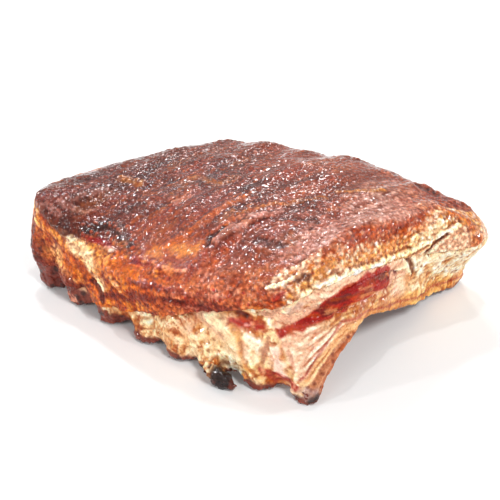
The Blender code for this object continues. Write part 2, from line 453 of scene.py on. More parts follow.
def finishPiece(name, mesh, material, nodeNames):
    mesh.name = name
    mesh.materials.clear()
    mesh.materials.append(material)
    for polygon in mesh.polygons:
        polygon.use_smooth = True
    piece = bpy.data.objects.new(name, mesh)
    bpy.context.scene.collection.objects.link(piece)
    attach(piece, "root")
    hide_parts(*nodeNames)
    triangles = sum(len(p.vertices) - 2 for p in mesh.polygons)
    print(name, triangles, "triangles")


# Outer meat: the browned crust on top, the fat side and the outer band of the cut
outerMeatLook = {
    "voxel": 0.00098,
    "evenRounds": 10,
    "hiddenGrow": 0.0012,
    "streakTurn": 10.0,
    "streakHeight": 0.45,
    "lumpHeight": 1.3,
    "grainHeight": 0.6,
    "ridgeHeight": 0.15,
    "charHeight": 0.7,
    "reliefShadeContrast": 1.5,
    "mottleScale": 640.0,
    "mottleDark": (0.30, 0.25, 0.24, 1),
    "mottleLight": (1.55, 1.45, 1.4, 1),
    "mottleAmount": 0.8,
    "roughDry": 0.42,
    "roughWet": 0.06,
    "rippleTurn": -10.0,
    "rippleStretch": 0.65,
    "rippleScale": 300.0,
    "beadScale": 520.0,
    "beadHeight": 0.45,
    "bumpStrength": 1.0,
    "bumpDepth": 0.0016,
    "coat": 0.9,
    "coatRoughness": 0.05,
    "subsurface": 0.0,
}

# Where the crust ends, in mm: along the front by height, at the cut by width
crustFrontEdge = [
    (-118, 60), (-102, 57), (-90, 50), (-75, 47), (-60, 49), (-45, 53),
    (-28, 53), (-17, 58), (10, 63), (38, 64), (62, 67), (80, 72),
]
crustCutEdge = [
    (-75, 60), (-59, 69), (-51, 74), (-37, 80), (-15, 84),
    (0, 90), (22, 95), (45, 101), (67, 104), (80, 113),
]
# Height of the cream seam of fat along the cut
creamSeamHeight = [
    (-75, 42), (-69, 52), (-62, 59), (-50, 63), (-33, 64),
    (-12, 59), (16, 53), (33, 54), (48, 58), (75, 56),
]


def curveValue(knots, at):
    knots = np.array(knots, float)
    return np.interp(at, knots[:, 0], knots[:, 1])


def streakPlace(points, turn, stretch):
    # coordinates stretched along the way the crust's streaks run
    angle = radians(turn)
    bent = points + 0.0
    bent[:, 0] += 5 * softNoise(points, 42, 5)
    across = bent[:, 0] * cos(angle) - bent[:, 1] * sin(angle)
    along = bent[:, 0] * sin(angle) + bent[:, 1] * cos(angle)
    return np.stack([across, along / stretch, bent[:, 2] * 0.6], axis=1)


def spotted(points, size, radius, seed):
    # round spots, one to each cell, with a soft rim
    return 1 - ramp(radius * 0.7, radius * 1.3, pebbleNoise(points, size, seed))


def veins(points, size, width, seed):
    # winding lines where the noise passes through zero
    return 1 - ramp(0.3 * width, width, np.abs(layeredNoise(points, size, seed, 2)))


creamSeamPath = [
    (67, -73, 40), (70, -72, 45), (76, -69, 52), (82, -62, 60), (88, -50, 63), (92, -33, 64),
    (95, -12, 59), (100, 16, 53), (104, 33, 54), (112, 48, 58), (116, 58, 60),
]
# The fold where the outer meat hangs over the rib meat at the front, with its shadow painted dark red
# along it
creasePath = [
    (-46, -89, 22), (-41, -88, 25), (-22, -89, 32), (-2, -92, 41),
    (18, -90, 45), (38, -86, 46), (55, -77, 44), (66, -73, 42),
]

# Where the crust is charred along its left front edge
charredPath = [(-73, -70, 51), (-62, -63, 55), (-46, -66, 55), (-38, -72, 53)]

# The smooth golden patch behind the front edge of the crust
goldenPath = [(-17, -72, 57), (-5, -68, 61), (10, -65, 65)]

# Painted marks: colour, half width and strength, height added, then the path in mm
outerMeatMarks = [
    ("burntOrange", 6.5, 0.6, 0.0, goldenPath),
    ("golden", 6.0, 0.6, 0.3, goldenPath),
    ("orange", 4.0, 0.55, 0.5, [(-11, -68, 61), (-4, -57, 66), (1, -45, 71), (4, -28, 74), (6, -14, 75)]),
    ("golden", 4.5, 0.45, 0.2, [(-86, -23, 64), (-80, -22, 64), (-72, -22, 64)]),
    ("golden", 4.2, 0.35, 0.2, [(-42, -1, 68), (-34, -1, 70), (-24, -3, 71)]),
    ("goldenBrown", 2.6, 0.85, 0.5, [(51, 23, 78), (60, 35, 77), (70, 45, 75)]),
    ("goldenBrown", 3.0, 0.6, 0.4, [(17, -30, 76), (22, -20, 77), (28, -9, 78)]),
    # pale rose along a raised fold: painted highlight of the wet glaze
    ("paleRose", 3.6, 0.45, 1.1, [(20, -57, 71), (21, -50, 73), (26, -40, 76), (29, -26, 77)]),
    ("darkMahogany", 2.6, 0.7, -1.2, [(16, -62, 68), (14, -54, 70), (16, -46, 73)]),
    ("darkMahogany", 3.4, 0.5, -0.5, [(42, -48, 75), (50, -48, 76), (57, -45, 76)]),
    ("darkMahogany", 3.6, 0.5, -0.5, [(44, -24, 78), (52, -19, 79), (61, -15, 79)]),
    # pale rose along a second raised fold: painted highlight of the wet glaze
    ("paleRose", 2.8, 0.4, 0.7, [(20, -34, 76), (30, -27, 77), (37, -17, 77)]),
    ("paleRose", 4.0, 0.45, 0.3, [(64, -32, 78), (74, -23, 80), (81, -12, 80)]),
    ("darkMahogany", 5.5, 0.6, 0.4, charredPath),
    ("char", 3.6, 0.7, 0.6, [(-73, -72, 51), (-70, -66, 53), (-62, -63, 55)]),
    ("char", 3.0, 0.6, 0.3, [(-55, -61, 57), (-46, -67, 55), (-38, -72, 53)]),
    ("char", 2.2, 0.4, 0.0, [(-36, -74, 52), (-30, -78, 51)]),
    # grey-pink streaks in the char: painted highlights
    ("greyPink", 2.4, 0.3, 0.3, [(-57, -60, 57), (-47, -65, 55), (-39, -71, 53)]),
    ("palePink", 1.6, 0.7, 0.5, [(-51, -76, 50), (-45, -77, 50)]),
    ("pinkMeat", 2.4, 0.5, 0.4, [(-12, -79, 55), (2, -80, 56), (14, -79, 60)]),
    ("deepRed", 2.2, 0.95, 0.0, [(-71, -75, 49), (-61, -74, 50), (-50, -74, 51)]),
    ("deepRed", 1.9, 0.95, -0.4, [(-26, -79, 51), (-16, -80, 52), (-4, -80, 54)]),
    # grey-pink along two ridges at the left end: painted highlights of the glaze
    ("greyPink", 2.4, 0.35, 0.5, [(-108, -74, 60), (-101, -74, 60), (-93, -73, 57)]),
    ("greyPink", 2.6, 0.4, 0.6, [(-97, -68, 62), (-89, -66, 59), (-83, -61, 57), (-78, -55, 59)]),
    ("darkMahogany", 2.0, 0.9, 1.0, [(-116, -68, 61), (-103, -77, 57), (-91, -78, 50), (-76, -78, 47)]),
    ("cream", 5.0, 0.85, 0.3, [(-80, -79, 44), (-66, -81, 43), (-57, -84, 38), (-46, -88, 29)]),
    ("orange", 7.0, 0.6, 0.0, [(-85, -81, 41), (-79, -83, 35), (-77, -84, 29)]),
    ("golden", 4.5, 0.3, 0.3, [(-46, -82, 45), (-34, -85, 43), (-18, -86, 46)]),
    ("cream", 2.8, 0.6, 0.4, [(-45, -81, 46), (-39, -85, 40), (-31, -88, 35)]),
    ("golden", 3.6, 0.6, 0.3, [(-118, -68, 54), (-110, -78, 50), (-100, -81, 47), (-88, -82, 43)]),
    ("cream", 2.2, 0.65, 0.5, [(-118, -70, 51), (-111, -78, 47), (-102, -82, 45), (-92, -82, 43)]),
    ("orange", 6.5, 0.6, 0.0, [(-42, -83, 46), (-16, -84, 50), (8, -85, 54)]),
    ("rimRed", 2.6, 0.7, -0.8, [(-57, -85, 28), (-48, -87, 26), (-44, -89, 21)]),
    # dark red on the lower edge over the crease: painted shadow
    ("rimRed", 4.0, 0.8, 0.0, [(40, -86, 49), (54, -78, 47), (66, -73, 46)]),
    ("cream", 1.5, 0.8, 0.8, [(66, -71, 64), (71, -67, 67), (75, -62, 69), (78, -58, 70)]),
    ("brownSpot", 2.6, 0.85, -0.4, [(78, -60, 69), (82, -55, 69)]),
    ("darkMahogany", 5.0, 0.35, -1.8, [(79, 78, 68), (83, 78, 67), (88, 80, 64)]),
    ("goldenBrown", 3.4, 0.55, 0.6, [(33, -8, 78), (40, 2, 79), (49, 10, 79)]),
    ("leanRed", 2.2, 0.8, 0.0, [(73, -73, 62), (75, -70, 64)]),
    ("redBrown", 2.4, 0.7, -0.4, [(-25, -88, 42), (-4, -90, 48), (18, -88, 51)]),
    ("redBrown", 1.8, 0.6, -0.4, [(-11, -91, 40), (12, -91, 45), (31, -87, 47)]),
    # pale rose patches on the top: painted sheen
    ("paleRose", 3.0, 0.5, 0.3, [(-32, -32, 67), (-28, -23, 69)]),
    ("paleRose", 3.5, 0.35, 0.3, [(-97, -67, 63), (-93, -55, 62), (-86, -39, 62)]),
    ("paleRose", 4.0, 0.5, 0.3, [(77, -45, 77), (81, -33, 80), (83, -21, 81)]),
    ("cream", 2.2, 0.8, 0.7, creamSeamPath),
    ("cream", 4.5, 0.85, 0.7, [(104, 28, 56), (107, 38, 60), (110, 48, 63)]),
    (
        "paleFat", 2.6, 0.35, 0.5,
        [(86, -54, 65), (89, -46, 64), (93, -30, 62), (96, -12, 59), (100, 10, 55)],
    ),
    (
        "burntOrange", 4.0, 0.8, 1.0,
        [(103, 59, 69), (110, 62, 66), (117, 67, 61), (123, 68, 53), (125, 69, 42)],
    ),
    ("brownSpot", 1.5, 0.8, -0.9, [(107, 36, 47), (110, 43, 53), (114, 50, 57)]),
    # dark red along the crease: painted shadow under the overhang
    ("rimRed", 2.8, 0.85, 0.2, creasePath),
]


def applyMarks(points, marks, paint, seed):
    # each mark wavers and comes out patchy, as a brown or pale place on meat does
    shift = warped(warped(points, 6.0, 1.8, seed), 2.5, 0.9, seed + 5) - points
    patchy = ramp(-0.55, 0.05, layeredNoise(points, 3.5, seed + 9, 2))
    height = np.zeros(len(points))
    for colourName, width, strength, rise, path in marks:
        # thin marks waver less than wide ones
        shifted = points + shift * min(1.0, width / 4.0)
        mask = nearPath(shifted, path, 0.4 * width, 1.3 * width)
        paint = lay(paint, colourName, mask * strength * (0.35 + 0.65 * patchy))
        height += rise * mask
    return paint, height


def paintCrust(points, look):
    # streaks of brown and black with rosy blotches, paler to the right and to the cut, where the pale rose
    # is partly painted sheen
    x, y = points[:, 0], points[:, 1]
    streaks = layeredNoise(streakPlace(points, look["streakTurn"], 4.0), 8.0, 21, 3)
    streakAt = streakPlace(points, look["streakTurn"], 3.2)
    fineStreaks = layeredNoise(streakAt, 3.2, 22, 3)
    speckle = layeredNoise(points, 2.6, 20, 2)
    blotches = layeredNoise(points, 16, 24, 3)
    darkStreaks = streaks - 0.3 * speckle
    frontPart = ramp(-30, -62, y + 12 * blotches) * ramp(-60, -30, x)
    paleSheenRight = ramp(45, 85, x) * ramp(-10, 22, y)
    darkRight = ramp(0, 40, x) * (1 - 0.6 * paleSheenRight)
    fromCut = curveValue(crustCutEdge, y) - x
    paleSheenEdge = ramp(30, 6, fromCut + 10 * blotches) * ramp(-62, -45, y)
    paint = coated(plainPaint(points, "mahogany"), [
        ("darkMahogany", ramp(0.0, 0.4, streaks + 0.4 * speckle) * 0.85),
        ("redBrown", ramp(0.0, 0.4, -streaks + 0.3 * speckle) * 0.8),
        ("rosyCrust", ramp(0.0, 0.35, blotches + 0.7 * fineStreaks) * 0.55),
        ("goldenBrown", ramp(0.18, 0.5, layeredNoise(streakAt, 9.0, 29, 3)) * 0.6),
        ("orange", ramp(0.2, 0.5, layeredNoise(streakAt, 5.0, 28, 2)) * 0.5),
        ("rosyCrust", ramp(0.15, 0.5, speckle) * 0.35),
        ("burntOrange", frontPart * ramp(-0.3, 0.3, -fineStreaks) * 0.55),
        ("rosyCrust", ramp(10, 80, x) * 0.3),
        ("rosyCrust", ramp(15, 60, y) * 0.65),
        ("darkMahogany", ramp(-30, -85, x) * 0.35),
        ("rosyCrust", ramp(0, 40, x) * ramp(0.0, 0.4, blotches) * 0.5),
        # pale rose and pale pink to the right: partly a paler crust, partly painted sheen
        ("paleRose", paleSheenRight * ramp(-0.4, 0.15, fineStreaks + 0.4 * speckle) * 0.95),
        ("darkMahogany", paleSheenRight * ramp(0.0, 0.3, darkStreaks) * 0.6),
        ("paleRose", paleSheenRight * 0.35),
        ("palePink", paleSheenRight * ramp(0.0, 0.35, speckle + 0.3 * fineStreaks) * 0.8),
        ("burntOrange", frontPart * ramp(25, 0, x) * 0.35),
        ("mahogany", darkRight * ramp(0.0, 0.35, darkStreaks) * 0.5),
        ("mahogany", ramp(30, -10, x) * 0.22),
        # pale rose along the cut edge: partly a paler crust, partly painted sheen
        ("paleRose", paleSheenEdge * ramp(-0.7, 0.1, fineStreaks) * 0.75),
    ])
    return paint, streaks, fineStreaks, blotches


def paintFatSide(points, blotches, underLip):
    # the side below the crust: glossy fat on the left, grainy browned meat to the right
    x, y, z = points.T
    layersAt = warped(points, 14, 4, 41) * np.array([0.45, 0.45, 1.0])
    layers = layeredNoise(layersAt, 9, 42, 3)
    fine = layeredNoise(warped(points, 6, 3, 43), 4.5, 47, 3)
    redGrains = ramp(-35, 10, x) * ramp(-0.05, 0.4, layeredNoise(points, 6, 46))
    pinkGrains = ramp(-5, 35, x) * ramp(0.0, 0.3, layeredNoise(points, 4, 45))
    fatty = 1 - ramp(-60, -30, x)
    creamPatches = ramp(0.02, 0.32, layeredNoise(warped(points, 9, 5, 48), 11, 49, 3))
    nearLip = ramp(-9, -3, underLip) * fatty
    endDark = ramp(-94, -116, x) * ramp(48, 28, z + 5 * blotches)
    lowRim = ramp(28, 19, z + 5 * fine) * ramp(-52, -64, x)
    side = coated(plainPaint(points, "burntOrange"), [
        ("orange", ramp(-0.3, 0.2, layers)),
        ("golden", ramp(0.0, 0.4, fine + 0.5 * blotches) * 0.5),
        ("redBrown", ramp(0.05, 0.4, -layers - 0.4 * fine) * 0.75),
        ("rawPink", ramp(-10, 32, x) * 0.45),
        ("redBrown", redGrains * 0.7),
        ("pinkMeat", pinkGrains * 0.65),
        ("cream", fatty * creamPatches * 0.45 * ramp(-108, -92, x)),
        ("golden", nearLip * ramp(-0.3, 0.3, fine) * 0.8),
        ("cream", nearLip * spotted(points, 5.5, 0.36, 53) * 0.75),
        ("deepRed", spotted(points, 5.2, 0.19, 54) * 0.8),
        ("mahogany", spotted(points, 2.8, 0.26, 63) * 0.55),
        ("redBrown", ramp(-88, -108, x) * ramp(-0.3, 0.3, layers) * 0.8),
        ("mahogany", veins(warped(points, 8, 4, 55), 10, 0.09, 56) * 0.55),
        ("mahogany", endDark * 0.9),
        ("char", endDark * spotted(points, 7, 0.4, 58) * 0.6),
        ("rimRed", lowRim * 0.85),
        ("mahogany", ramp(50, 80, y) * 0.55),
    ])
    return side, layers, fine


def paintCutBand(points, above):
    # the outer band of the cut: browned and grainy, with the cream seam along its foot
    y = points[:, 1]
    cutNoise = layeredNoise(points * np.array([1, 0.5, 1]), 5, 51)
    coarse = layeredNoise(points * np.array([1, 0.35, 1]), 9, 50)
    creamy = ramp(21, 11, above) * (1 - 0.7 * ramp(-35, -10, y) * ramp(45, 30, y))
    grainRow = ramp(-0.45, 0.0, coarse) * ramp(19, 13, above) * ramp(2, 5, above)
    return coated(plainPaint(points, "burntOrange"), [
        ("orange", ramp(-0.2, 0.3, cutNoise)),
        ("golden", ramp(13, 5, above + 7 * coarse) * 0.45),
        ("tan", ramp(13, 4, above + 9 * cutNoise) * 0.5),
        ("redBrown", ramp(9, 16, above + 5 * cutNoise) * 0.6),
        ("golden", ramp(42, 60, y) * ramp(-0.5, 0.2, coarse) * 0.55),
        ("pinkCream", ramp(-0.2, 0.2, cutNoise + 0.5 * coarse) * creamy * 0.85),
        ("paleFat", spotted(points, 3.6, 0.40, 52) * grainRow * 0.85),
        ("pinkCream", spotted(points, 4.8, 0.28, 59) * 0.7),
        ("redBrown", spotted(points, 4.4, 0.24, 57) * 0.75),
        ("pinkCream", ramp(-2.5, -5, above) * 0.9),
    ])


def buildOuterMeat():
    look = outerMeatLook
    mesh, hidden, points, normals = bodyMesh(["outer_meat"], look)
    x, y, z = points.T

    edgeNoise = 3.0 * layeredNoise(points, 12, 11)
    frontEdge = curveValue(crustFrontEdge, x)
    softness = 2.0 + 7.0 * ramp(-50, -10, x)
    overFront = ramp(-1, 1, (z - frontEdge + edgeNoise) / softness)
    cutEdge = curveValue(crustCutEdge, y)
    insideCut = ramp(-1.5, 1.5, cutEdge - x + 0.6 * edgeNoise)
    crust = overFront * insideCut
    above = z - curveValue(creamSeamHeight, y)
    onCut = (1 - insideCut) * ramp(55, 66, x)

    paint, streaks, fineStreaks, blotches = paintCrust(points, look)
    side, layers, fine = paintFatSide(points, blotches, z - frontEdge)
    band = paintCutBand(points, above)
    paint = covered(covered(side, paint, crust), band, onCut)
    paint, marked = applyMarks(points, outerMeatMarks, paint, 61)

    roundGrains = 1 - ramp(0.0, 0.62, pebbleNoise(points, 3.6, 31))
    charred = nearPath(points, charredPath, 5, 9)
    paint = lay(paint, "redBrown", charred * ramp(0.3, 0.8, roundGrains) * 0.7)
    smaller = 1 - ramp(0.0, 0.75, pebbleNoise(points, 2.1, 35))
    patches = ramp(-0.35, 0.35, layeredNoise(points, 22, 36, 2))
    grainy = (0.50 + 0.50 * np.maximum(crust, ramp(-40, 0, x))) * (0.45 + 0.55 * patches)
    grains = look["grainHeight"] * (roundGrains + 0.55 * smaller) * grainy
    wetRidges = 1 - np.abs(layeredNoise(streakPlace(points, look["streakTurn"], 7.0), 4.5, 37, 2)) * 3
    height = look["lumpHeight"] * layeredNoise(points, 26, 23, 2) * crust
    height += look["streakHeight"] * (0.7 * streaks + 0.5 * fineStreaks) * crust
    height += look["ridgeHeight"] * np.clip(wetRidges, 0, 1) * (1 - 0.6 * patches) * crust
    calm = 1 - 0.8 * nearPath(points, goldenPath, 5, 9)
    height += (0.8 * layers + 0.5 * fine) * (1 - crust) + grains * calm
    height += marked + look["charHeight"] * charred * roundGrains
    height *= 1.0 - hidden
    moveTo(mesh, (points + normals * height[:, None]) / 1000)

    # painted shade in the gaps of the relief, painted highlight on its raised grains
    paint = paintReliefShade(paint, height, edgesOf(mesh), look["reliefShadeContrast"])
    gloss = (0.62 + 0.3 * blotches + 0.2 * crust) * (0.3 + 0.7 * calm)
    grit = (0.75 + 0.25 * crust * patches) * (0.45 + 0.55 * calm)
    storePaint(mesh, paint, gloss, grit, normals)
    material = wetSurface("BrownedCrust", look)
    finishPiece("outerMeat", mesh, material, ["outer_meat"])


# Rib meat: the layer round the bones, cream and tan with swirls, and the cut face below
ribMeatLook = {
    "voxel": 0.00105,
    "evenRounds": 8,
    "hiddenGrow": 0.0010,
    "swirlHeight": 0.8,
    "lineCount": 1.7,
    "fibreHeight": 0.55,
    "pebbleHeight": 0.25,
    "cragHeight": 2.2,
    "reliefShadeContrast": 0.5,
    "mottleScale": 700.0,
    "mottleDark": (0.45, 0.36, 0.30, 1),
    "mottleLight": (1.30, 1.28, 1.25, 1),
    "mottleAmount": 0.6,
    "roughDry": 0.42,
    "roughWet": 0.08,
    "rippleTurn": 0.0,
    "rippleStretch": 0.8,
    "rippleScale": 260.0,
    "beadScale": 380.0,
    "beadHeight": 0.28,
    "bumpStrength": 0.8,
    "bumpDepth": 0.0016,
    "coat": 0.7,
    "coatRoughness": 0.08,
    "subsurface": 0.1,
}

# The middle of the red strip of lean muscle along the cut, in mm
leanStrip = [(74, -72, 37), (84, -65, 44), (90, -52, 48), (96, -30, 50), (97, -19, 50), (99, 0, 47)]
stripHeight = [(y, z) for x, y, z in leanStrip]


def outsideStrip(points):
    # how far a point lies outside the red strip, in mm
    away = distanceToPath(warped(points, 5, 1.5, 106), leanStrip)
    return away - 3.2 - 3.6 * ramp(-70, -25, points[:, 1])


# Along the cut: height of the arched underside, and of the foot of the lean strip
archHeight = [
    (-88, 0), (-66, 19.5), (-44, 32), (-22, 29), (0, 20),
    (22, 13.5), (44, 7.5), (66, 3), (88, 0),
]
leanFoot = [(-90, 40), (-70, 42), (-40, 45), (0, 40), (26, 38), (50, 46), (88, 50)]
# Where the cut face begins at the front corner, along the body for each height
cutCorner = [(0, 99), (7, 96), (20, 88), (29, 79), (41, 70), (50, 66)]
# Height of the dark rim along the lower front edge
rimHeight = [(-115, 22), (-85, 17), (-62, 13), (-40, 9), (-10, 7.5), (50, 7), (110, 5)]
# Middles of the curled knobs of meat over the rib ends
ribKnobs = [(-38, -86, 14), (-10, -86, 16), (19, -86, 17), (48, -84, 22)]
# The smooth knobs of fat to the right of them, and the charred scrap that hangs below
creamKnobPath = [(34, -82, 34), (54, -80, 30), (65, -79, 24)]
cornerKnobPath = [(78, -75, 26), (80, -75, 17)]
scrapPath = [(46, -93, 4), (52, -92, 6)]

ribMeatMarks = [
    ("cream", 2.0, 0.8, 0.6, creamSeamPath),
    ("greyPink", 2.6, 0.45, 0.3, [(76, -69, 48), (79, -67, 53), (84, -61, 55)]),
    ("golden", 1.8, 0.4, -0.3, [(84, -60, 53), (90, -52, 56)]),
    ("burntOrange", 4.0, 0.6, -0.4, creasePath[:7]),
    # dark red line in the crease: painted shadow under the overhanging outer meat
    ("rimRed", 2.2, 0.85, -1.3, creasePath[:7]),
    ("pinkCream", 9.0, 0.7, 0.0, [(34, -82, 36), (51, -81, 32), (64, -79, 24)]),
    ("cream", 5.0, 0.8, 1.5, [(34, -80, 36), (43, -81, 32), (52, -82, 28)]),
    ("rawPink", 3.0, 0.5, 0.0, [(28, -86, 38), (38, -84, 38), (47, -82, 36)]),
    # pale fat on the smooth knob: partly its own colour, partly a painted highlight
    ("paleFat", 4.6, 0.9, 2.0, [(58, -79, 33), (62, -79, 28), (64, -81, 20)]),
    ("golden", 2.6, 0.5, -0.7, [(36, -86, 42), (48, -81, 36), (54, -81, 31), (57, -83, 22)]),
    ("rawPink", 1.8, 0.35, -0.8, [(69, -74, 33), (69, -76, 26), (69, -79, 19)]),
    ("golden", 5.0, 0.5, 0.3, [(62, -82, 17), (70, -80, 14)]),
    ("palePink", 5.0, 0.85, 1.6, [(75, -75, 27), (78, -75, 21), (79, -76, 14)]),
    ("leanRed", 3.6, 0.95, -0.4, [(48, -80, 39), (55, -78, 39), (64, -75, 39)]),
    ("palePink", 0.9, 0.7, 0.9, [(50, -80, 41), (55, -78, 42), (60, -76, 40), (55, -78, 38)]),
    ("leanRed", 3.4, 0.95, -0.5, [(69, -80, 14), (76, -77, 11), (90, -76, 9)]),
    ("pinkMeat", 1.6, 0.6, -0.3, [(82, -73, 30), (85, -74, 26), (87, -76, 19)]),
    ("greyPink", 4.5, 0.8, 0.3, [(97, -76, 8), (102, -72, 6)]),
    ("char", 2.6, 0.8, 0.0, [(99, -77, 3), (104, -72, 8)]),
    ("brownSpot", 1.8, 0.85, -1.0, [(100, 21, 52), (103, 25, 46), (105, 27, 38)]),
    ("brownSpot", 1.2, 0.8, -0.9, [(107, 36, 46), (110, 43, 52), (114, 50, 55)]),
    ("char", 9.0, 0.95, 0.5, [(47, -93, 3), (50, -92, 9)]),
]


def paintRibFront(points, folds, grainLines):
    # cream fat with thin orange-brown lines that wind round the knobs
    x, y = points[:, 0], points[:, 1]
    fine = layeredNoise(warped(points, 6, 4, 74), 4, 77, 3)
    faded = ramp(-0.35, 0.15, layeredNoise(points, 12, 76, 2))
    browned = np.maximum(ramp(15, 50, y), ramp(-72, -92, x))
    winding = veins(warped(points, 7, 6, 66), 6, 0.13, 67)
    thread = veins(warped(points, 4, 4, 65), 3.6, 0.10, 69)
    return coated(plainPaint(points, "tan"), [
        # cream on the crests of the folds, orange in their troughs: partly the fat's own colour, partly
        # painted highlight and shade
        ("cream", ramp(-0.4, 0.15, folds + 0.5 * fine) * 0.95),
        ("orange", ramp(0.05, 0.4, -folds - 0.5 * fine) * 0.45),
        ("orange", ramp(0.2, 0.9, -grainLines + 0.6 * fine) * faded * 0.6),
        ("burntOrange", ramp(0.7, 1.1, -grainLines + 0.6 * fine) * faded * 0.8),
        ("burntOrange", browned * ramp(-0.6, 0.1, fine) * 0.75),
        ("mahogany", browned * ramp(-0.1, 0.3, folds) * 0.75),
        ("burntOrange", winding * ramp(0.35, -0.15, folds) * 0.75),
        ("brownSpot", thread * faded * 0.45 * ramp(34, 18, x)),
        # pale fat on the fold crests: partly its own colour, partly a painted highlight
        ("paleFat", ramp(0.1, 0.45, folds + 0.3 * fine) * (1 - winding) * 0.7),
        ("rawPink", ramp(0.15, 0.5, layeredNoise(points, 14, 78, 2)) * 0.3),
        ("brownSpot", spotted(points, 6, 0.16, 79) * 0.6),
    ])


def paintCutFace(points, below):
    # fibres that run along the cut, parallel to its arched lower edge
    x, y, z = points.T
    along = y + 0.8 * np.minimum(x - 97, 0) * ramp(-45, -62, y)
    foot = curveValue(archHeight, along)
    rise = z - foot
    share = rise / np.maximum(curveValue(leanFoot, along) - foot, 6.0)
    fibrePlace = np.stack([x * 0.3, along / 9.0, share * 26.0], axis=1)
    fibres = layeredNoise(fibrePlace, 1.9, 81, 3)
    thick = layeredNoise(fibrePlace, 7.0, 83, 3)
    mottles = layeredNoise(warped(points, 7, 4, 82), 6, 80, 3)
    # the back part is lumpy fat, golden near the underside
    backPart = ramp(8, 35, y)
    lumps = layeredNoise(warped(points, 6, 3, 84), 7, 86, 4, 0.6)
    lowBack = ramp(-45, -20, y) * ramp(16, 9, rise + 4 * mottles)
    # browned tissue lies just below the red strip, pale fat below the cream seam
    outside = outsideStrip(points)
    strip = ramp(0.8, -0.8, outside)
    tissue = ramp(9.0, 4.5, outside) * ramp(-62, -46, y) * ramp(14, 2, y)
    tissue *= ramp(0.0, -2.5, z - curveValue(stripHeight, y))
    pale = (1 - ramp(4.0, 9.0, below)) * (1 - 0.7 * backPart)
    goldenLine = 1 - ramp(1.6, 3.2, np.abs(rise - 3.4 + 0.8 * thick))
    redLine = 1 - ramp(0.4, 1.2, np.abs(rise - 7.6 + 1.2 * thick))
    cut = coated(plainPaint(points, "pinkCream"), [
        ("paleFat", ramp(-0.1, 0.4, fibres + 0.5 * mottles) * 0.75),
        ("pinkMeat", ramp(0.05, 0.35, -fibres) * 0.7),
        ("burntOrange", ramp(0.25, 0.5, -fibres - 0.4 * mottles) * 0.5),
        ("rawPink", ramp(0.1, 0.45, thick) * 0.3),
        ("tan", backPart * 0.85),
        ("cream", backPart * ramp(-0.35, 0.1, lumps) * 0.9),
        ("paleFat", backPart * ramp(-0.15, 0.25, lumps + 0.4 * mottles) * 0.8),
        ("orange", backPart * ramp(0.15, 0.4, -lumps) * 0.5),
        ("brownSpot", backPart * spotted(points, 4.2, 0.24, 89) * 0.7),
        ("golden", lowBack * 0.6),
        ("burntOrange", lowBack * ramp(0.0, 0.3, mottles) * 0.7),
        ("tan", tissue * 0.8),
        ("burntOrange", tissue * ramp(-0.2, 0.2, mottles) * 0.75),
        ("paleFat", tissue * spotted(points, 4.0, 0.3, 96) * 0.8),
        ("pinkCream", pale * 0.8),
        ("paleFat", pale * ramp(0.0, 0.4, mottles) * 0.5),
        ("rawPink", pale * spotted(points, 3.4, 0.26, 94) * 0.6),
        ("golden", goldenLine * 0.35),
        ("deepRed", redLine * 0.5),
        ("burntOrange", ramp(1.6, 0.4, rise + 0.8 * thick) * 0.5),
        ("mahogany", ramp(2.5, 0.5, rise) * spotted(points, 3.6, 0.34, 64) * 0.7),
        ("leanRed", strip * 0.95),
        ("deepRed", strip * ramp(0.0, 0.4, fibres) * 0.6),
        ("orange", strip * ramp(0.1, 0.4, -fibres) * 0.5),
    ])
    return cut, fibres, thick * (1 - backPart) + 5.0 * lumps * backPart


